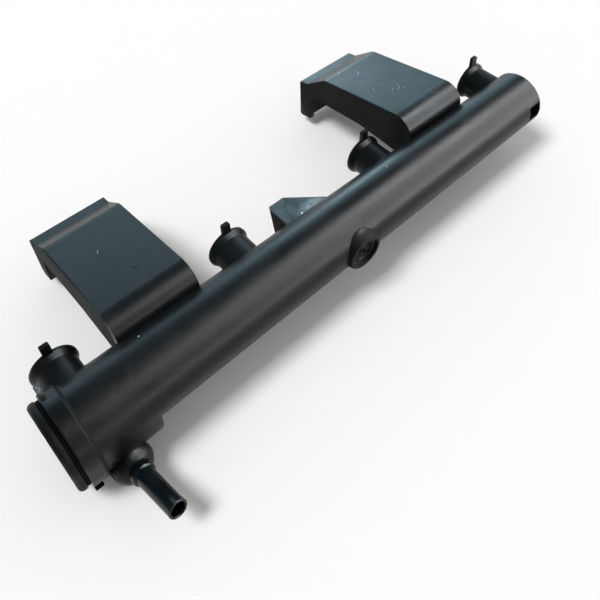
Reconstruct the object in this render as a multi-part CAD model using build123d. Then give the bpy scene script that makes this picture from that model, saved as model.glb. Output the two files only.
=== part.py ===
from build123d import *
import os
from math import cos, radians, sin, sqrt, tan

# Moulded fuel rail for a four-cylinder engine, in millimetres.
# X runs along the rail from the capped end to the closed end, Y points from the rail to the
# injectors and Z is up. The origin is on the first injector cup's axis, where the straight wall
# of its bore starts.

# Rail tube
cup_count = 4
cup_pitch = 86.0
rail_radius_at_cup = 16.45
rail_draft_deg = 0.38
rail_wall = 2.9
rail_beyond_last_cup = 7.3
rail_end_round = 0.7

# Closed end, beyond the end wall: cored from its face, with a blind pocket in its front
end_block_length = 10.2
end_wall = 3.2
end_core_radius = 7.4
end_core_depth = 7.6
pocket_end_wall = 0.9
pocket_width = 8.5
pocket_height = 8.6
pocket_depth = 5.6
pocket_centre_z = 1.6

# Oblong chamber at the capped end, as wide as the drafted tube and deeper
chamber_drop = 8.8
chamber_end_x = 20.8
chamber_wall = 3.2
chamber_edge_round = 1.6

# Collar round the chamber's mouth, with a foot below
collar_face_x = -11.4
collar_width = 6.7
collar_proud = 1.2
collar_edge_round = 0.7
collar_face_round = 0.5
foot_width = 3.5
foot_proud = 2.9
foot_top_z = -18.8

# Torn flash that stands up from the collar, towards the injectors
spur_angle_deg = 56.0
spur_height = 4.3
spur_width = 5.2
spur_thickness = 1.9

# End cap, pushed into the chamber's mouth on a rubber seal
cap_clearance = 0.1
cap_land_inset = 2.6
cap_gap = 1.6
cap_slab_thickness = 3.3
cap_slab_round = 2.0
cap_slab_inner_round = 0.3
cap_plug_length = 8.0
cap_plug_wall = 2.4
seal_section = 2.6
seal_squeeze = 0.15
seal_groove_from_face = 2.2

# Injector cups
cup_mouth_from_axis = 27.8
cup_lead = 1.0
cup_bore_radius = 6.75
cup_bore_depth = 12.0
cup_body_radius = 8.9
cup_flange_radius = 10.3
cup_flange_thickness = 1.5
cup_flare_length = 2.4
cup_feed_radius = 2.4
tab_width = 4.0
tab_thickness = 1.8
tab_top = 16.0
tab_corner = 0.8

# Arms that hook over the manifold
arm_after_first_cup = 21.8
arm_after_third_cup = 17.0
arm_width = 38.8
arm_knee_y = 11.2
arm_knee_z = 21.6
arm_knee_round = 9.3
arm_brow_y = 73.8
arm_brow_z = 10.1
arm_brow_round = 7.5
arm_ledge_y = 87.3
arm_ledge_z = -0.5
arm_back_y = 92.8
arm_back_z = -1.5
arm_hook_bottom = -26.2
arm_hook_thickness = 8.8
arm_hook_lip_rise = 1.8
arm_underside_back_z = -7.6
arm_underside_mid_y = 46.0
arm_underside_mid_z = -3.0
arm_underside_root_z = -4.6
arm_underside_round = 60.0
arm_skin = 3.0
arm_side = 2.6
arm_rib = 2.2
arm_core_root_y = 21.5
hook_core_width = 3.4
hook_core_depth = 15.0
hook_inner_wall = 2.8
hook_toe_step = 4.6

# Gusset block between the middle cups
gusset_after_second_cup = 24.6
gusset_back_length = 7.6
gusset_root_length = 25.9
gusset_top_z = 7.5
gusset_bottom_z = -8.8
gusset_root_y = 12.0
gusset_back_lean = 3.4
gusset_wall = 2.6
gusset_round = 0.9

# Port in the middle of the rail's front
port_face_from_axis = 17.5
port_face_radius = 9.0
port_root_radius = 10.6
port_root_from_axis = 10.0
port_socket_radius = 7.4
port_socket_depth = 3.9
port_hole_radius = 3.9
port_lip_round = 0.6
plug_clearance = 0.1
plug_head_radius = 6.3
plug_head_thickness = 2.6
plug_head_recess = 0.9
plug_head_rim = 1.3
plug_stem_length = 3.4
plug_eye_radius = 1.3
plug_eye_depth = 1.6
port_seal_section = 1.5
port_seal_radius = 4.95
snap_ring_thickness = 0.8
snap_ring_gap_deg = 40.0

# Inlet boss and spigot
inlet_x = 4.6
inlet_y = -21.2
inlet_z = -19.0
inlet_lift_deg = 16.5
inlet_swing_deg = 5.0
boss_radius = 8.6
boss_length = 14.0
boss_dome = 5.6
spigot_diameter = 7.89
spigot_wall = 1.0
spigot_reach = 24.6
spigot_insert = 11.0
spigot_tip_round = 0.35
spigot_collar_diameter = 9.9
spigot_collar_length = 3.4
spigot_collar_round = 1.0
spigot_clearance = 0.05
boss_channel_radius = 2.9


# Worked out from the values above
rail_draft = tan(radians(rail_draft_deg))
cup_xs = [index * cup_pitch for index in range(cup_count)]
rail_end_x = cup_xs[-1] + rail_beyond_last_cup
arm_starts_x = (cup_xs[0] + arm_after_first_cup, cup_xs[2] + arm_after_third_cup)
gusset_start_x = cup_xs[1] + gusset_after_second_cup
gusset_back_end_x = gusset_start_x + gusset_back_length
gusset_root_end_x = gusset_start_x + gusset_root_length
port_x = cup_xs[-1] / 2
frame_shift = Pos(0, -(cup_mouth_from_axis - cup_lead), 0)


def rail_radius(x):
    """Outer radius of the drafted tube at x."""
    return rail_radius_at_cup - rail_draft * x


chamber_radius = rail_radius(collar_face_x)
chamber_mouth_radius = chamber_radius - chamber_wall


def oblong(x, radius, thickness):
    """Slab with the chamber's oblong outline, from x towards +X."""
    outline = Pos(0, -chamber_drop / 2) * SlotCenterToCenter(chamber_drop, 2 * radius, rotation=90)
    return extrude(Plane.YZ.offset(x) * outline, thickness)


def turned(points):
    """Solid of revolution about the rail's axis, from (x, radius) points."""
    return revolve(make_face(Polyline(*points, close=True)), Axis.X)


def rail_tube():
    """Drafted outer tube, started inside the chamber."""
    start = chamber_end_x / 4
    tube = turned([(start, 0), (start, rail_radius(start)), (rail_end_x, rail_radius(rail_end_x)),
                   (rail_end_x, 0)])
    end_edge = tube.edges().filter_by(GeomType.CIRCLE).sort_by(Axis.X)[-1]
    return fillet(end_edge, rail_end_round)


def rail_bore():
    """Long drafted core of the tube, up to the end wall."""
    start = collar_face_x + cap_plug_length
    stop = rail_end_x - end_block_length - end_wall
    return turned([(start, 0), (start, rail_radius(start) - rail_wall),
                   (stop, rail_radius(stop) - rail_wall), (stop, 0)])


def end_hollows():
    """Round core in the closed end's face, and the blind pocket in its front."""
    start = rail_end_x - end_core_depth
    core = turned([(start, 0), (start, end_core_radius), (rail_end_x + 1, end_core_radius),
                   (rail_end_x + 1, 0)])
    front = rail_radius(rail_end_x)
    pocket = Pos(rail_end_x - pocket_end_wall - pocket_width / 2, -front, pocket_centre_z) * Box(
        pocket_width, 2 * pocket_depth, pocket_height)
    return core + pocket


def chamber_body():
    """The drafted tube's own start and its copy below, with flat sides between them."""
    start_radius = rail_radius(collar_face_x)
    stop_radius = rail_radius(chamber_end_x)
    upper = turned([(collar_face_x, 0), (collar_face_x, start_radius), (chamber_end_x, stop_radius),
                    (chamber_end_x, 0)])
    sides = make_face(Polyline((collar_face_x, -start_radius), (collar_face_x, start_radius),
                               (chamber_end_x, stop_radius), (chamber_end_x, -stop_radius), close=True))
    body = upper + Pos(0, 0, -chamber_drop) * upper + extrude(sides, -chamber_drop)
    return fillet(body.faces().sort_by(Axis.X)[-1].edges(), chamber_edge_round)


def collar():
    """Low collar round the mouth, and the foot that stands out below it."""
    band = oblong(collar_face_x, chamber_radius + collar_proud, collar_width)
    band = fillet(band.faces().sort_by(Axis.X)[-1].edges(), collar_edge_round)
    band = fillet(band.faces().sort_by(Axis.X)[0].edges(), collar_face_round)
    foot = oblong(collar_face_x, chamber_radius + foot_proud, foot_width)
    foot = fillet(foot.faces().sort_by(Axis.X)[-1].edges(), collar_edge_round)
    reach = 2 * (chamber_radius + foot_proud)
    above = Pos(collar_face_x, 0, foot_top_z + reach) * Box(2 * reach, 2 * reach, 2 * reach)
    return band + (foot - above)


def torn_flash():
    """Small torn spur that stands up from the collar."""
    root = chamber_radius + collar_proud
    outline = Polyline((root - 1, -spur_width / 2), (root - 1, spur_width / 2),
                       (root + spur_height * 0.45, spur_width * 0.3), (root + spur_height, -spur_width * 0.18),
                       (root + spur_height * 0.2, -spur_width * 0.5), close=True)
    spur = extrude(Plane.YZ.offset(collar_face_x + collar_face_round) * make_face(outline), spur_thickness)
    return Rot(spur_angle_deg, 0, 0) * spur


def chamber_cavity():
    """Oblong hollow that the end cap closes."""
    return oblong(collar_face_x, chamber_mouth_radius, chamber_end_x - chamber_wall - collar_face_x)


def cup_outside():
    """One cup's body, flared rim flange and top tab, on the Y axis."""
    mouth = cup_mouth_from_axis
    flange_root = mouth - cup_flange_thickness
    wall = Polyline((0, rail_wall), (cup_body_radius, rail_wall),
                    (cup_body_radius, flange_root - cup_flare_length),
                    (cup_flange_radius, flange_root), (cup_flange_radius, mouth), (0, mouth), close=True)
    body = revolve(make_face(wall), Axis.Y)
    rim = body.edges().filter_by(GeomType.CIRCLE).sort_by(Axis.Y)[-1]
    body = fillet(rim, 0.4)
    tab_height = tab_top - cup_body_radius
    tab = Pos(0, mouth - tab_thickness / 2, cup_body_radius + tab_height / 2) * Box(
        tab_width, tab_thickness, tab_height)
    tab = fillet(tab.edges().filter_by(Axis.Y).group_by(Axis.Z)[-1], tab_corner)
    return body + tab


def cup_inside():
    """Lead-in, seat bore and feed hole of one cup."""
    mouth = cup_mouth_from_axis
    seat = mouth - cup_lead - cup_bore_depth
    wall = Polyline((0, 0), (cup_feed_radius, 0), (cup_feed_radius, seat), (cup_bore_radius, seat),
                    (cup_bore_radius, mouth - cup_lead), (cup_bore_radius + cup_lead, mouth),
                    (cup_bore_radius + cup_lead, mouth + 1), (0, mouth + 1), close=True)
    return revolve(make_face(wall), Axis.Y)


def underside_z(y):
    """Height of the arm's lower edge at y."""
    if y > arm_underside_mid_y:
        share = (y - arm_underside_mid_y) / (arm_back_y - arm_hook_thickness - arm_underside_mid_y)
        return arm_underside_mid_z + share * (arm_underside_back_z - arm_underside_mid_z)
    share = (arm_underside_mid_y - y) / (arm_underside_mid_y - arm_knee_y)
    return arm_underside_mid_z + share * (arm_underside_root_z - arm_underside_mid_z)


def arm_profile():
    """Side view of an arm: knee, sloping top, brow, ledge, back wall and hook."""
    inner = arm_back_y - arm_hook_thickness
    points = [(arm_knee_y, underside_z(arm_knee_y)), (arm_knee_y, arm_knee_z), (arm_brow_y, arm_brow_z),
              (arm_ledge_y, arm_ledge_z), (arm_back_y, arm_back_z), (arm_back_y, arm_hook_bottom),
              (inner, arm_hook_bottom + arm_hook_lip_rise), (inner, underside_z(inner)),
              (arm_underside_mid_y, arm_underside_mid_z)]
    radii = [0, arm_knee_round, arm_brow_round, 1.2, 0.6, 1.4, 1.2, 3.5, arm_underside_round]
    return FilletPolyline(*points, radius=radii, close=True)


def arm_core(start, width):
    """One pocket moulded into an arm from below, between two side plates or ribs."""
    low = arm_hook_bottom - 1
    inner = arm_back_y - arm_hook_thickness
    slope = (arm_knee_z - arm_brow_z) / (arm_brow_y - arm_knee_y)
    top_at_root = arm_knee_z - slope * (arm_core_root_y - arm_knee_y) - arm_skin
    points = [(arm_core_root_y, low), (arm_core_root_y, top_at_root),
              (arm_brow_y - 1.0, arm_brow_z - arm_skin), (inner - 1.5, arm_ledge_z - arm_skin / 2),
              (inner - 1.5, low)]
    pocket = FilletPolyline(*points, radius=[0, 3.0, 4.0, 2.0, 0], close=True)
    return extrude(Plane.YZ.offset(start) * make_face(pocket), width)


def hook_cores(start, width):
    """Slot up into the hook, and the step that leaves a toe at each side plate."""
    inner = arm_back_y - arm_hook_thickness
    slot_y = inner + hook_inner_wall + hook_core_width / 2
    slot = Pos(start + width / 2, slot_y, arm_hook_bottom + hook_core_depth / 2 - 1) * Box(
        width, hook_core_width, hook_core_depth + 2)
    step_depth = hook_inner_wall + hook_core_width / 2
    step = Pos(start + width / 2, inner + step_depth / 2 - 1, arm_hook_bottom + hook_toe_step / 2 - 1) * Box(
        width, step_depth + 2, hook_toe_step + 2)
    return slot + step


def arm(start):
    """One arm with two pockets either side of its middle rib."""
    body = extrude(Plane.YZ.offset(start) * make_face(arm_profile()), arm_width)
    pocket = (arm_width - 2 * arm_side - arm_rib) / 2
    for first in (start + arm_side, start + arm_side + pocket + arm_rib):
        body = body - arm_core(first, pocket)
        body = body - hook_cores(first, pocket)
    return body


def gusset_side(back, bottom, top):
    """Slab as long as the gusset, whose back leans in towards its bottom."""
    profile = Polyline((gusset_root_y, bottom), (back - gusset_back_lean, bottom), (back, top),
                       (gusset_root_y, top), close=True)
    return extrude(Plane.YZ.offset(gusset_start_x) * make_face(profile), gusset_root_length)


def gusset():
    """Tapered block behind the middle of the rail, leaning back to it, and cored from below."""
    back = cup_mouth_from_axis
    outline = Polyline((gusset_start_x, gusset_root_y), (gusset_start_x, back), (gusset_back_end_x, back),
                       (gusset_root_end_x, gusset_root_y), close=True)
    block = extrude(Pos(0, 0, gusset_bottom_z) * make_face(outline), gusset_top_z - gusset_bottom_z)
    block = block & gusset_side(back, gusset_bottom_z, gusset_top_z)
    block = fillet(block.faces().sort_by(Axis.Y)[-1].edges().sort_by(Axis.Z)[1:], gusset_round)
    core_outline = offset(make_face(outline), -gusset_wall)
    core = extrude(Pos(0, 0, gusset_bottom_z - 1) * core_outline, gusset_top_z - gusset_bottom_z - gusset_wall)
    core = core & gusset_side(back - gusset_wall, gusset_bottom_z - 1, gusset_top_z)
    return block - core


def port_boss():
    """Drafted round boss on the rail's front."""
    wall = Polyline((0, -port_root_from_axis), (port_root_radius, -port_root_from_axis),
                    (port_root_radius, -port_root_from_axis - 2),
                    (port_face_radius, -port_face_from_axis), (0, -port_face_from_axis), close=True)
    boss = revolve(make_face(wall), Axis.Y)
    rim = boss.edges().filter_by(GeomType.CIRCLE).sort_by(Axis.Y)[0]
    return Pos(port_x, 0, 0) * fillet(rim, port_lip_round)


def port_inside():
    """Socket and through hole of the port."""
    floor = -(port_face_from_axis - port_socket_depth)
    wall = Polyline((0, 0), (port_hole_radius, 0), (port_hole_radius, floor),
                    (port_socket_radius, floor), (port_socket_radius, -port_face_from_axis - 1),
                    (0, -port_face_from_axis - 1), close=True)
    return Pos(port_x, 0, 0) * revolve(make_face(wall), Axis.Y)


def inlet_plane():
    """Plane at the inlet boss's face, whose normal points the way the spigot does."""
    lift = radians(inlet_lift_deg)
    swing = radians(inlet_swing_deg)
    direction = (cos(lift) * sin(swing), -cos(lift) * cos(swing), sin(lift))
    return Plane(origin=(inlet_x, inlet_y, inlet_z), x_dir=(cos(swing), sin(swing), 0), z_dir=direction)


def inlet_boss():
    """Domed boss on the chamber's lower front."""
    boss = Pos(0, 0, -boss_length / 2) * Cylinder(boss_radius, boss_length)
    boss = fillet(boss.edges().filter_by(GeomType.CIRCLE).sort_by(Axis.Z)[-1], boss_dome)
    return inlet_plane() * boss


def inlet_inside():
    """Seat for the spigot and the channel into the chamber."""
    seat_radius = spigot_diameter / 2 + spigot_clearance
    seat = Pos(0, 0, -spigot_insert / 2 + 0.5) * Cylinder(seat_radius, spigot_insert + 1)
    channel = Pos(0, 0, -boss_length / 2 - 1) * Cylinder(boss_channel_radius, boss_length + 2)
    return inlet_plane() * (seat + channel)


def rail_body():
    """The whole moulding."""
    body = rail_tube() + chamber_body() + collar() + torn_flash() + port_boss() + gusset()
    for start in arm_starts_x:
        body = body + arm(start)
    for x in cup_xs:
        body = body + Pos(x, 0, 0) * cup_outside()
    body = body + inlet_boss()
    body = body - chamber_cavity() - rail_bore() - end_hollows() - port_inside() - inlet_inside()
    for x in cup_xs:
        body = body - Pos(x, 0, 0) * cup_inside()
    return body


def oblong_ring(x, outer, inner, thickness):
    """Ring with the chamber's oblong outline."""
    return oblong(x, outer, thickness) - oblong(x - 1, inner, thickness + 2)


def seal_x():
    """Where the cap's seal groove starts, inside the chamber's mouth."""
    return collar_face_x + seal_groove_from_face


def end_cap():
    """Cap slab with its land, and a hollow plug with a seal groove."""
    plug_radius = chamber_mouth_radius - cap_clearance
    plug = oblong(collar_face_x, plug_radius, cap_plug_length)
    groove = oblong_ring(seal_x(), plug_radius + 1, plug_radius - seal_section + seal_squeeze, seal_section)
    hollow = oblong(collar_face_x + cap_plug_wall, plug_radius - seal_section - cap_plug_wall, cap_plug_length)
    land = oblong(collar_face_x - cap_gap, chamber_radius - cap_land_inset, cap_gap)
    slab = oblong(collar_face_x - cap_gap - cap_slab_thickness, chamber_radius, cap_slab_thickness)
    slab = fillet(slab.faces().sort_by(Axis.X)[0].edges(), cap_slab_round)
    slab = fillet(slab.faces().sort_by(Axis.X)[-1].edges(), cap_slab_inner_round)
    return plug - groove - hollow + land + slab


def end_cap_seal():
    """Rubber seal in the cap's groove, pressed lightly against the chamber's wall."""
    outer = chamber_mouth_radius
    inner = chamber_mouth_radius - cap_clearance - seal_section + seal_squeeze
    ring = oblong_ring(seal_x() + 0.1, outer, inner, seal_section - 0.2)
    return ring


def inlet_spigot():
    """Steel tube with a collar against the boss."""
    radius = spigot_diameter / 2
    wall = Polyline((radius - spigot_wall, -spigot_insert), (radius, -spigot_insert), (radius, 0),
                    (spigot_collar_diameter / 2, 0), (spigot_collar_diameter / 2, spigot_collar_length),
                    (radius, spigot_collar_length), (radius, spigot_reach),
                    (radius - spigot_wall, spigot_reach), close=True)
    tube = revolve(make_face(Plane.XZ * wall), Axis.Z)
    collar_edges = [edge for edge in tube.edges().filter_by(GeomType.CIRCLE) if edge.radius > radius + 0.1]
    tube = fillet(collar_edges, spigot_collar_round)
    tip_edges = tube.edges().filter_by(GeomType.CIRCLE).group_by(Axis.Z)[-1]
    tube = fillet(tip_edges, spigot_tip_round)
    return inlet_plane() * tube


def port_floor():
    """Y of the socket's floor."""
    return -(port_face_from_axis - port_socket_depth)


def port_plug():
    """Plug with a dished head, a centre eye and a stem into the rail."""
    floor = port_floor()
    face = floor - plug_head_thickness
    stem_radius = port_hole_radius - plug_clearance
    wall = Polyline((0, floor + plug_stem_length), (stem_radius, floor + plug_stem_length),
                    (stem_radius, floor), (plug_head_radius, floor), (plug_head_radius, face),
                    (plug_head_radius - plug_head_rim, face),
                    (plug_head_radius - plug_head_rim - 0.6, face + plug_head_recess),
                    (plug_eye_radius + 1.1, face + plug_head_recess), (plug_eye_radius + 0.7, face + 0.3),
                    (plug_eye_radius, face + 0.3), (plug_eye_radius, face + plug_eye_depth),
                    (0, face + plug_eye_depth), close=True)
    plug = revolve(make_face(wall), Axis.Y)
    seat = Pos(0, floor, 0) * Rot(90, 0, 0) * Torus(port_seal_radius, port_seal_section / 2)
    return Pos(port_x, 0, 0) * (plug - seat)


def port_seal():
    """O-ring under the plug's head, flattened on the socket's floor."""
    floor = port_floor()
    ring = Pos(0, floor, 0) * Rot(90, 0, 0) * Torus(port_seal_radius, port_seal_section / 2 - 0.02)
    below = Pos(0, floor + port_seal_section, 0) * Box(
        4 * port_seal_radius, 2 * port_seal_section, 4 * port_seal_radius)
    return Pos(port_x, 0, 0) * (ring - below)


def port_snap_ring():
    """Split steel ring round the plug's head, against the socket's wall."""
    floor = port_floor()
    outer = port_socket_radius
    inner = plug_head_radius + plug_clearance
    ring = Rot(90, 0, 0) * (Cylinder(outer, snap_ring_thickness) - Cylinder(inner, snap_ring_thickness * 2))
    half = radians(snap_ring_gap_deg / 2)
    reach = 2 * outer
    wedge = make_face(Polyline((0, 0), (-reach * sin(half), -reach * cos(half)),
                               (reach * sin(half), -reach * cos(half)), close=True))
    gap = Rot(90, 0, 0) * extrude(wedge, snap_ring_thickness * 2, both=True)
    depth = floor - plug_head_thickness + plug_head_recess
    return Pos(port_x, depth, 0) * Rot(0, 150, 0) * (ring - gap)


nodes = {
    "rail_body": rail_body,
    "end_cap": end_cap,
    "end_cap_seal": end_cap_seal,
    "inlet_spigot": inlet_spigot,
    "port_plug": port_plug,
    "port_seal": port_seal,
    "port_snap_ring": port_snap_ring,
}

os.makedirs("parts", exist_ok=True)
for name, make in nodes.items():
    export_step(frame_shift * make(), f"parts/{name}.step")
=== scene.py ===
import math
import bmesh
import bpy
from mathutils import Matrix, Vector


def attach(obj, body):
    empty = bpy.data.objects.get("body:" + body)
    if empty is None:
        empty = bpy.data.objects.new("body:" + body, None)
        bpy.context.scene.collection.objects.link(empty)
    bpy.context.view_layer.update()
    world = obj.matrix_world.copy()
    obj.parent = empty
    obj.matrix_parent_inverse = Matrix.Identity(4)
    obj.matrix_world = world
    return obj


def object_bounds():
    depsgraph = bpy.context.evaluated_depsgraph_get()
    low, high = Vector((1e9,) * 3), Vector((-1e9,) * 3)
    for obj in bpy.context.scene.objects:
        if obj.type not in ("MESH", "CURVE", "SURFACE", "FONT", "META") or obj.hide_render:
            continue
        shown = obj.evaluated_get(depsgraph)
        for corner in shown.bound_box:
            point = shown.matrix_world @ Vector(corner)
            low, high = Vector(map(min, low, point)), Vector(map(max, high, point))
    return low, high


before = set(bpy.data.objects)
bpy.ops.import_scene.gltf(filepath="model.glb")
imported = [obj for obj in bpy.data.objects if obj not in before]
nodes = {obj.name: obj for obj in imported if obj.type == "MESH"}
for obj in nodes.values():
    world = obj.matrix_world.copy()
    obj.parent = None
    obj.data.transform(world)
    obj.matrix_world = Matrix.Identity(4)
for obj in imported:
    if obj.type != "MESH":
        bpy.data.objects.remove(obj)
cad_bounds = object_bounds()


# Rail body
#
# The rail is one moulding of black glass-filled nylon: tube, capped chamber, injector cups,
# hooked arms, gusset block and port. It comes satin from the mould, with a fine sparked grain.
# The tops of the gusset and of the right arm are painted a lighter cool grey, partly wear and
# partly painted sheen of the cool light, and some places carry painted shade and a painted highlight.
rail_axis_y = -0.0268
chamber_drop = 0.0088
port_x = 0.1290
arm_side_x = (0.0216, 0.1888)

rail_dark = (0.0036, 0.0044, 0.0048, 1)
rail_light = (0.0078, 0.0090, 0.0098, 1)
# Lighter cool grey of the tops: partly wear, partly painted sheen of the cool light
worn_and_sheen_grey = (0.066, 0.094, 0.110, 1)
# Painted highlight on the gusset's top
painted_highlight_grey = (0.27, 0.34, 0.38, 1)
scratch_grey = (0.36, 0.39, 0.41, 1)
scraped_dark = (0.0015, 0.0018, 0.0020, 1)
# Painted shade for the matt places
painted_shade_dark = (0.0022, 0.0026, 0.0028, 1)
torn_white = (0.30, 0.34, 0.36, 1)
speck_white = (0.62, 0.64, 0.66, 1)

grain_share = 0.35
scratch_width = 0.00022
scrape_width = 0.0004
scratch_depth = 0.0008
scratch_edge = 0.35


class Recipe:
    """Nodes that are added one after another to the tree of a material or of the world."""

    def __init__(self, tree):
        self.nodes = tree.nodes
        self.links = tree.links

    def node(self, kind, inputs=None, **settings):
        made = self.nodes.new("ShaderNode" + kind)
        for key, value in settings.items():
            setattr(made, key, value)
        for key, value in (inputs or {}).items():
            if isinstance(value, bpy.types.NodeSocket):
                self.links.new(value, made.inputs[key])
            else:
                made.inputs[key].default_value = value
        return made

    def ramp(self, value, low, high, start=0.0, stop=1.0, interpolation="SMOOTHSTEP"):
        made = self.node("MapRange", {"Value": value, "From Min": low, "From Max": high,
                                      "To Min": start, "To Max": stop},
                         interpolation_type=interpolation)
        return made.outputs["Result"]

    def math(self, operation, first, second):
        return self.node("Math", {0: first, 1: second}, operation=operation).outputs["Value"]

    def blend(self, share, first, second):
        """Colour that goes from the first to the second as the share goes from 0 to 1."""
        return self.node("Mix", {0: share, 6: first, 7: second}, data_type="RGBA").outputs[2]


class Finish(Recipe):
    """A material in object coordinates, whose shader gets its colour, roughness and skin last."""

    def __init__(self, name):
        self.material = bpy.data.materials.new(name)
        self.material.use_nodes = True
        super().__init__(self.material.node_tree)
        self.coordinates = self.node("TexCoord").outputs["Object"]

    def noise(self, marks_a_metre, detail=3.0, roughness=0.55, vector=None, distortion=0.0):
        made = self.node("TexNoise", {"Vector": vector or self.coordinates, "Scale": marks_a_metre,
                                      "Detail": detail, "Roughness": roughness, "Distortion": distortion})
        return made.outputs["Fac"]

    def patch(self, centre, half_sizes, edge, turn=(0, 0, 0)):
        """1 inside an ellipsoid on the object, fading to 0 from the share edge of its half sizes."""
        local = self.node("Mapping", {"Vector": self.coordinates, "Location": centre,
                                      "Rotation": [math.radians(angle) for angle in turn],
                                      "Scale": half_sizes}, vector_type="TEXTURE")
        distance = self.node("VectorMath", {0: local.outputs["Vector"]}, operation="LENGTH").outputs["Value"]
        return self.ramp(distance, edge, 1.0, start=1.0, stop=0.0)

    def either(self, masks):
        share = masks[0]
        for mask in masks[1:]:
            share = self.math("MAXIMUM", share, mask)
        return share

    def bump(self, height, depth, strength, below=None):
        """Skin with the height's relief, added to the skin below it."""
        inputs = {"Height": height, "Distance": depth, "Strength": strength}
        if below is not None:
            inputs["Normal"] = below
        return self.node("Bump", inputs).outputs["Normal"]

    def finish(self, colour, roughness, skin, constants):
        shader = self.nodes["Principled BSDF"]
        self.links.new(colour, shader.inputs["Base Color"])
        self.links.new(roughness, shader.inputs["Roughness"])
        self.links.new(skin, shader.inputs["Normal"])
        for key, value in constants.items():
            shader.inputs[key].default_value = value
        return self.material


def scratch(finish, start, end, width):
    """Thin line on the object between two points, as a long thin patch."""
    run = Vector(end) - Vector(start)
    middle = (Vector(start) + Vector(end)) / 2
    angles = [math.degrees(angle) for angle in run.to_track_quat("X", "Z").to_euler()]
    return finish.patch(middle, (run.length / 2, width, scratch_depth), scratch_edge, turn=angles)


def dress(node, material):
    """The finish goes into every slot of the node's own mesh."""
    mesh = nodes[node].data
    if not mesh.materials:
        mesh.materials.append(material)
    for index in range(len(mesh.materials)):
        mesh.materials[index] = material


rail = Finish("satin_black_nylon")
cloud = rail.noise(marks_a_metre=38.0, detail=4.0, roughness=0.6)
grain = rail.noise(marks_a_metre=2600.0, detail=2.0, roughness=0.5)
flow = rail.noise(marks_a_metre=160.0, detail=5.0, roughness=0.65, distortion=0.6)
mottle = rail.noise(marks_a_metre=720.0, detail=3.0, roughness=0.7)
colour = rail.blend(rail.ramp(cloud, 0.35, 0.68), rail_dark, rail_light)
colour = rail.blend(rail.math("MULTIPLY", rail.ramp(grain, 0.52, 0.72), grain_share), colour, rail_light)

# Wear and painted sheen: the gusset's top and the right arm's top are painted a lighter cool grey, partly
# wear and partly the sheen of the cool light on them, with a painted highlight on the gusset's top,
# brightest near the tube
gusset_top = rail.patch((0.1210, -0.0060, 0.0070), (0.0210, 0.0140, 0.0030), edge=0.8)
gusset_wear_and_sheen = rail.math("MULTIPLY", gusset_top, rail.ramp(flow, 0.30, 0.62, start=0.40, stop=1.15))
right_arm_top = rail.patch((0.2084, 0.0120, 0.0150), (0.0240, 0.0420, 0.0140), edge=0.5, turn=(-10.5, 0, 0))
right_arm_wear_and_sheen = rail.math("MULTIPLY", right_arm_top, rail.ramp(flow, 0.30, 0.80, start=0.05, stop=0.38))
wear_and_sheen = rail.either([gusset_wear_and_sheen, right_arm_wear_and_sheen])
colour = rail.blend(wear_and_sheen, colour, worn_and_sheen_grey)
# Painted highlight: a light cool patch on the gusset's top near the tube, standing in for a reflection
gusset_painted_highlight = rail.patch((0.1262, -0.0116, 0.0072), (0.0100, 0.0046, 0.0026), edge=0.2)
gusset_painted_highlight = rail.math("MULTIPLY", gusset_painted_highlight, rail.ramp(mottle, 0.30, 0.70, start=0.35))
colour = rail.blend(gusset_painted_highlight, colour, painted_highlight_grey)

# Fine light scratches on the arms' tops, with a small scuffed place on the right arm, one on the
# chamber's front, and two dark scrapes on the left arm
light_scratches = [
    ((0.2010, 0.0493, 0.0097), (0.1986, 0.0438, 0.0107)),
    ((0.2082, 0.0403, 0.0114), (0.2037, 0.0343, 0.0125)),
    ((0.2001, 0.0218, 0.0147), (0.1973, 0.0160, 0.0158)),
    ((0.1837, 0.0454, 0.0104), (0.1830, 0.0415, 0.0111)),
    ((0.2030, 0.0106, 0.0168), (0.2070, 0.0122, 0.0165)),
    ((0.2050, 0.0090, 0.0171), (0.2104, 0.0108, 0.0167)),
    ((0.2082, 0.0078, 0.0173), (0.2130, 0.0088, 0.0171)),
    ((0.2090, 0.0122, 0.0165), (0.2108, 0.0127, 0.0164)),
    ((0.2042, 0.0134, 0.0163), (0.2058, 0.0139, 0.0162)),
    ((0.0390, 0.0277, 0.0137), (0.0373, 0.0249, 0.0142)),
    ((0.0014, -0.0431, 0.0074), (0.0018, -0.0432, 0.0013)),
]
dark_scrapes = [
    ((0.0436, 0.0085, 0.0172), (0.0451, 0.0031, 0.0181)),
    ((0.0434, 0.0050, 0.0178), (0.0457, 0.0065, 0.0175)),
]
scratches = rail.either([scratch(rail, start, end, scratch_width) for start, end in light_scratches])
scratches = rail.math("MULTIPLY", scratches, rail.ramp(flow, 0.30, 0.65, start=0.25))
colour = rail.blend(scratches, colour, scratch_grey)
scrapes = rail.either([scratch(rail, start, end, scrape_width) for start, end in dark_scrapes])
colour = rail.blend(scrapes, colour, scraped_dark)

# Matt places with painted shade: each arm's left side and its root, the gusset's side, the collar's edge,
# the port's boss. They are rougher, and their colour is painted darker to stand in for shade and dimmer
# reflections there
matt_and_shaded_places = [rail.patch((side_x, 0.0310, 0.0), (0.0012, 0.0465, 0.0400), edge=0.8)
               for side_x in arm_side_x]
matt_and_shaded_places += [rail.patch((side_x, -0.0045, 0.0070), (0.0012, 0.0085, 0.0160), edge=0.8)
                for side_x in arm_side_x]
matt_and_shaded_places += [
    rail.patch((0.1115, -0.0060, -0.0012), (0.0042, 0.0150, 0.0082), edge=0.8),
    rail.patch((-0.0047, rail_axis_y, -chamber_drop / 2), (0.0013, 0.0300, 0.0340), edge=0.7),
    rail.patch((port_x, -0.0425, 0.0), (0.0116, 0.0070, 0.0116), edge=0.85),
]
matt_and_shade = rail.either(matt_and_shaded_places)
colour = rail.blend(matt_and_shade, colour, painted_shade_dark)

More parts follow.
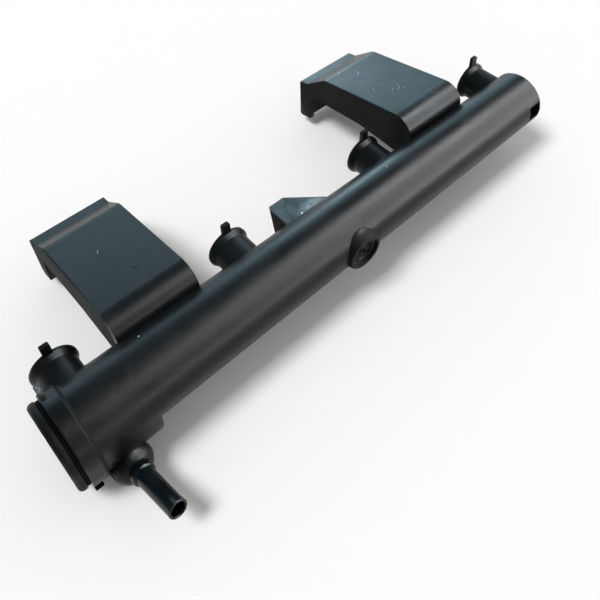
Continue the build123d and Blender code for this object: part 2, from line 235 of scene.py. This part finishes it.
# White specks: two on the tube's crown, the chip on the gusset, and the torn flash with its tip
specks = rail.either([
    rail.patch((0.0289, -0.0200, 0.0148), (0.00055, 0.00045, 0.0006), edge=0.5),
    rail.patch((0.1635, -0.0232, 0.0150), (0.00050, 0.00040, 0.0006), edge=0.5),
    rail.patch((0.1194, -0.0126, 0.0075), (0.00110, 0.00060, 0.0008), edge=0.4, turn=(0, 0, 35)),
    rail.patch((-0.0096, -0.0159, 0.0162), (0.00090, 0.00080, 0.0009), edge=0.3),
])
colour = rail.blend(specks, colour, speck_white)
fibres = rail.noise(marks_a_metre=2200.0, detail=4.0)
torn = rail.patch((-0.0098, -0.0154, 0.0166), (0.0028, 0.0028, 0.0036), edge=0.3)
torn = rail.math("MULTIPLY", torn, rail.ramp(fibres, 0.30, 0.70, start=0.05, stop=0.75))
colour = rail.blend(torn, colour, torn_white)

roughness = rail.ramp(cloud, 0.3, 0.7, start=0.30, stop=0.37)
roughness = rail.math("ADD", roughness, rail.ramp(mottle, 0.30, 0.70, start=-0.03, stop=0.04))
for place, added_roughness in ((wear_and_sheen, 0.10), (matt_and_shade, 0.36), (scrapes, 0.30)):
    roughness = rail.math("ADD", roughness, rail.math("MULTIPLY", place, added_roughness))
skin = rail.bump(grain, depth=0.00006, strength=0.55)
skin = rail.bump(mottle, depth=0.00008, strength=0.5, below=skin)
skin = rail.bump(flow, depth=0.00014, strength=0.4, below=skin)
skin = rail.bump(scratches, depth=0.00006, strength=0.5, below=skin)
rail_nylon = rail.finish(colour, roughness, skin, {"IOR": 1.25})
dress("rail_body", rail_nylon)


# End cap and its seal
#
# The cap is a plain black nylon moulding, pushed into the chamber's mouth on a rubber seal.
# It is blacker and a little duller than the rail, and the seal is dull moulded rubber.
cap_dark = (0.0030, 0.0033, 0.0033, 1)
cap_light = (0.0075, 0.0082, 0.0082, 1)
rubber_dark = (0.0010, 0.0010, 0.0011, 1)
rubber_dusty = (0.0030, 0.0030, 0.0031, 1)

cap = Finish("dull_black_nylon")
cap_cloud = cap.noise(marks_a_metre=70.0, detail=4.0)
cap_grain = cap.noise(marks_a_metre=2200.0, detail=2.0)
colour = cap.blend(cap.ramp(cap_cloud, 0.35, 0.7), cap_dark, cap_light)
roughness = cap.ramp(cap_cloud, 0.3, 0.7, start=0.44, stop=0.54)
skin = cap.bump(cap_grain, depth=0.00006, strength=0.6)
cap_nylon = cap.finish(colour, roughness, skin, {"IOR": 1.18})
dress("end_cap", cap_nylon)

rubber = Finish("moulded_rubber")
dust = rubber.noise(marks_a_metre=300.0, detail=5.0)
rubber_grain = rubber.noise(marks_a_metre=1800.0)
colour = rubber.blend(rubber.ramp(dust, 0.4, 0.75), rubber_dark, rubber_dusty)
roughness = rubber.ramp(dust, 0.3, 0.7, start=0.70, stop=0.88)
skin = rubber.bump(rubber_grain, depth=0.00004, strength=0.5)
seal_rubber = rubber.finish(colour, roughness, skin, {"IOR": 1.16})
dress("end_cap_seal", seal_rubber)


# Lip of the cap's seal
#
# The cap's rubber seal ends in a flat lip that fills the gap between the cap's slab and the
# chamber's collar. It is moulded with the seal and is squeezed there when the cap goes in.
collar_face_x = -0.0114
cap_gap = 0.0016
lip_clearance = 0.00001
lip_radius = 0.0160
lip_width = 0.0022
lip_round = 0.0004
lip_round_steps = 3
segments_round = 96
quarter_turn = math.radians(90)
sharp_edge_angle = 1.0
just_under = 1e-6

lip_start_x = collar_face_x - cap_gap + lip_clearance
lip_thickness = cap_gap - 2 * lip_clearance


def from_middle(vert):
    """Distance from the straight line between the oblong's two centres."""
    height = min(0.0, max(-chamber_drop, vert.co.z))
    return (vert.co - Vector((vert.co.x, rail_axis_y, height))).length


def mesh_from(name, shape):
    mesh = bpy.data.meshes.new(name)
    shape.to_mesh(mesh)
    shape.free()
    return mesh


def set_down(name, data):
    """A new object at the origin of the scene."""
    thing = bpy.data.objects.new(name, data)
    bpy.context.scene.collection.objects.link(thing)
    return thing


lip_shape = bmesh.new()
bmesh.ops.create_circle(lip_shape, cap_ends=True, segments=segments_round, radius=lip_radius,
                        matrix=Matrix.Translation((lip_start_x, rail_axis_y, 0.0))
                        @ Matrix.Rotation(quarter_turn, 4, "Y"))
lower_half = [vert for vert in lip_shape.verts if vert.co.z < -just_under]
bmesh.ops.translate(lip_shape, verts=lower_half, vec=(0, 0, -chamber_drop))
bmesh.ops.inset_region(lip_shape, faces=lip_shape.faces[:], thickness=lip_width, use_boundary=True,
                       use_even_offset=True)
middle_faces = [face for face in lip_shape.faces if len(face.verts) > 4]
bmesh.ops.delete(lip_shape, geom=middle_faces, context="FACES_ONLY")
grown = bmesh.ops.extrude_face_region(lip_shape, geom=lip_shape.faces[:])
grown_verts = [part for part in grown["geom"] if isinstance(part, bmesh.types.BMVert)]
bmesh.ops.translate(lip_shape, verts=grown_verts, vec=(lip_thickness, 0, 0))
outer_rims = [edge for edge in lip_shape.edges if edge.calc_face_angle() > sharp_edge_angle
              and min(from_middle(vert) for vert in edge.verts) > lip_radius - lip_width / 2]
bmesh.ops.bevel(lip_shape, geom=outer_rims, offset=lip_round, affect="EDGES", segments=lip_round_steps,
                profile=0.5, material=-1)
bmesh.ops.recalc_face_normals(lip_shape, faces=lip_shape.faces[:])
lip = set_down("end_cap_seal_lip", mesh_from("end_cap_seal_lip", lip_shape))
lip.data.materials.append(seal_rubber)
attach(lip, "root")


# Inlet spigot
#
# A steel tube with a collar, pressed into the boss on the chamber's front. It has a thin glossy
# black coating, with faint rings from turning that show through it.
coat_dark = (0.0022, 0.0042, 0.0050, 1)
coat_light = (0.0060, 0.0105, 0.0120, 1)
inlet_lift_deg = 16.5
inlet_swing_deg = 5.0
ring_stretch = (0.02, 0.02, 1.0)

# The rings' pattern is turned to lie along the tube, and is drawn out across it
coat = Finish("glossy_black_coating")
coat_cloud = coat.noise(marks_a_metre=120.0, detail=4.0)
inlet_turn = (math.radians(90.0 + inlet_lift_deg), 0, math.radians(inlet_swing_deg))
along = coat.node("Mapping", {"Vector": coat.coordinates, "Rotation": inlet_turn}, vector_type="TEXTURE")
drawn_out = coat.node("VectorMath", {0: along.outputs["Vector"], 1: ring_stretch}, operation="MULTIPLY")
rings = coat.noise(marks_a_metre=900.0, detail=2.0, vector=drawn_out.outputs["Vector"])
colour = coat.blend(coat.ramp(coat_cloud, 0.35, 0.7), coat_dark, coat_light)
roughness = coat.ramp(coat_cloud, 0.3, 0.7, start=0.14, stop=0.21)
skin = coat.bump(rings, depth=0.00003, strength=0.35)
skin = coat.bump(coat_cloud, depth=0.00005, strength=0.3, below=skin)
spigot_coating = coat.finish(colour, roughness, skin,
                             {"IOR": 1.30, "Coat Weight": 0.15, "Coat Roughness": 0.10})
dress("inlet_spigot", spigot_coating)


# Port plug, seal and snap ring
#
# The port in the rail's front is closed by a black nylon plug on a rubber ring. A split ring of
# spring steel round the plug's head holds it in the socket.
steel_dark = (0.20, 0.20, 0.20, 1)
steel_light = (0.46, 0.46, 0.45, 1)

dress("port_plug", cap_nylon)
dress("port_seal", seal_rubber)

steel = Finish("spring_steel")
streaks = steel.noise(marks_a_metre=600.0, detail=5.0, roughness=0.7)
colour = steel.blend(steel.ramp(streaks, 0.35, 0.65), steel_dark, steel_light)
roughness = steel.ramp(streaks, 0.3, 0.7, start=0.25, stop=0.42)
skin = steel.bump(streaks, depth=0.00003, strength=0.4)
ring_steel = steel.finish(colour, roughness, skin, {"Metallic": 1.0})
dress("port_snap_ring", ring_steel)


# Floor
#
# A plain pale sheet of paper just under the lowest point of the rail. It is a little warm, so
# that it looks white in the cool light, and it keeps the object's shadow.
floor_gap = 0.0002
floor_reach = 6.0
floor_colour = (1.0, 0.945, 0.92, 1)
floor_roughness = 0.9
floor_z = cad_bounds[0][2] - floor_gap

floor_shape = bmesh.new()
bmesh.ops.create_grid(floor_shape, x_segments=1, y_segments=1, size=floor_reach,
                      matrix=Matrix.Translation((0, 0, floor_z)))
floor = set_down("floor", mesh_from("floor", floor_shape))
paper = bpy.data.materials.new("floor_paper")
paper.use_nodes = True
paper_shader = paper.node_tree.nodes["Principled BSDF"]
paper_shader.inputs["Base Color"].default_value = floor_colour
paper_shader.inputs["Roughness"].default_value = floor_roughness
paper_shader.inputs["Specular IOR Level"].default_value = 0.0
floor.data.materials.append(paper)


# Light
#
# Soft studio light. A cool room, darker overhead and lighter towards the rail's closed end, shows
# in the gloss. Two lamps that the gloss doesn't see light the surfaces: a wide one over the capped
# end, which throws the shadow, and a very wide one from above. The cards show only in the gloss.
room_wall = (0.34, 0.37, 0.385, 1)
room_ceiling = (0.10, 0.108, 0.113, 1)
dim_side_share = 0.35
light_side_share = 1.65
key_direction = (-0.45, 0.08, 0.88)
key_width_deg = 19.0
key_strength = 2.03
key_colour = (0.93, 0.99, 1.02)
fill_direction = (0.0, 0.0, 1.0)
fill_width_deg = 170.0
fill_strength = 0.92
fill_colour = (1.0, 1.0, 1.0)
lamp_white = (1.0, 1.0, 0.99)
panel_white = (0.98, 0.99, 1.0)
window_blue = (0.64, 0.89, 1.0)
wall_blue = (0.52, 0.84, 1.0)
card_distance = 2.4
rail_middle = Vector((0.125, 0.0, 0.0))

world = bpy.data.worlds.new("studio")
bpy.context.scene.world = world
world.use_nodes = True
room = Recipe(world.node_tree)
toward = room.node("SeparateXYZ", {"Vector": room.node("TexCoord").outputs["Generated"]}).outputs
walls = room.blend(toward["Z"], room_wall, room_ceiling)
side_share = room.ramp(toward["X"], -1.0, 1.0, start=dim_side_share, stop=light_side_share,
                       interpolation="LINEAR")
shaded = room.node("VectorMath", {0: walls, "Scale": side_share}, operation="SCALE")
room.links.new(shaded.outputs["Vector"], room.nodes["Background"].inputs["Color"])


def sun(name, direction, width_deg, strength, colour):
    """Lamp of that many degrees, in that direction, which the gloss doesn't see."""
    data = bpy.data.lights.new(name, "SUN")
    data.energy = strength
    data.color = colour
    data.angle = math.radians(width_deg)
    lamp = set_down(name, data)
    lamp.visible_glossy = False
    lamp.matrix_world = Vector(direction).to_track_quat("Z", "Y").to_matrix().to_4x4()


def card(name, azimuth, elevation, width, height, radiance, colour):
    """Soft card of that many degrees each way, in that direction from the rail, for the gloss alone."""
    turn = math.radians(azimuth)
    lift = math.radians(elevation)
    away = Vector((math.cos(lift) * math.cos(turn), math.cos(lift) * math.sin(turn), math.sin(lift)))
    data = bpy.data.lights.new(name, "AREA")
    data.shape = "RECTANGLE"
    data.size = 2 * card_distance * math.tan(math.radians(width / 2))
    data.size_y = 2 * card_distance * math.tan(math.radians(height / 2))
    data.energy = radiance * math.pi * data.size * data.size_y
    data.color = colour
    light = set_down(name, data)
    light.visible_diffuse = False
    light.visible_camera = False
    light.matrix_world = (Matrix.Translation(rail_middle + away * card_distance)
                          @ away.to_track_quat("Z", "Y").to_matrix().to_4x4())


card("front_lamp", azimuth=-13, elevation=50, width=24, height=20, radiance=12.5, colour=lamp_white)
card("front_panel", azimuth=-38, elevation=34, width=54, height=70, radiance=8.0, colour=panel_white)
card("front_strip", azimuth=-66, elevation=5, width=46, height=14, radiance=8.0, colour=panel_white)
card("back_window", azimuth=57, elevation=15, width=11, height=19, radiance=10.5, colour=window_blue)
card("back_wall", azimuth=68, elevation=24, width=68, height=32, radiance=3.3, colour=wall_blue)
sun("fill_lamp", fill_direction, fill_width_deg, fill_strength, fill_colour)
sun("key_lamp", key_direction, key_width_deg, key_strength, key_colour)


# Camera
#
# The camera stands in front of the rail's capped end and looks down across the rail, as in the
# photograph, whose centre of view lies above its middle: the frame is shifted down to match.
camera_place = (-0.015614, -0.166401, 0.251533)
camera_azimuth = math.radians(-41.186)
camera_elevation = math.radians(44.951)
camera_roll = math.radians(-1.270)
camera_near_limit = 0.01
sensor_width_mm = 36.0
focal_pixels = 699.506
frame_pixels = 600.0
centre_row = 151.0

ahead = Vector((-math.sin(camera_azimuth) * math.cos(camera_elevation),
                math.cos(camera_azimuth) * math.cos(camera_elevation),
                -math.sin(camera_elevation)))
across = Vector((math.cos(camera_azimuth), math.sin(camera_azimuth), 0))
upward = across.cross(ahead)
camera_right = across * math.cos(camera_roll) + upward * math.sin(camera_roll)
camera_up = upward * math.cos(camera_roll) - across * math.sin(camera_roll)
camera_data = bpy.data.cameras.new("camera")
camera_data.sensor_width = sensor_width_mm
camera_data.lens = sensor_width_mm * focal_pixels / frame_pixels
camera_data.shift_y = -(frame_pixels / 2 - centre_row) / frame_pixels
camera_data.clip_start = camera_near_limit
camera = set_down("camera", camera_data)
camera.matrix_world = Matrix.Translation(camera_place) @ Matrix((
    (camera_right.x, camera_up.x, -ahead.x), (camera_right.y, camera_up.y, -ahead.y),
    (camera_right.z, camera_up.z, -ahead.z))).to_4x4()
bpy.context.scene.camera = camera

bpy.context.scene.view_settings.view_transform = "Standard"
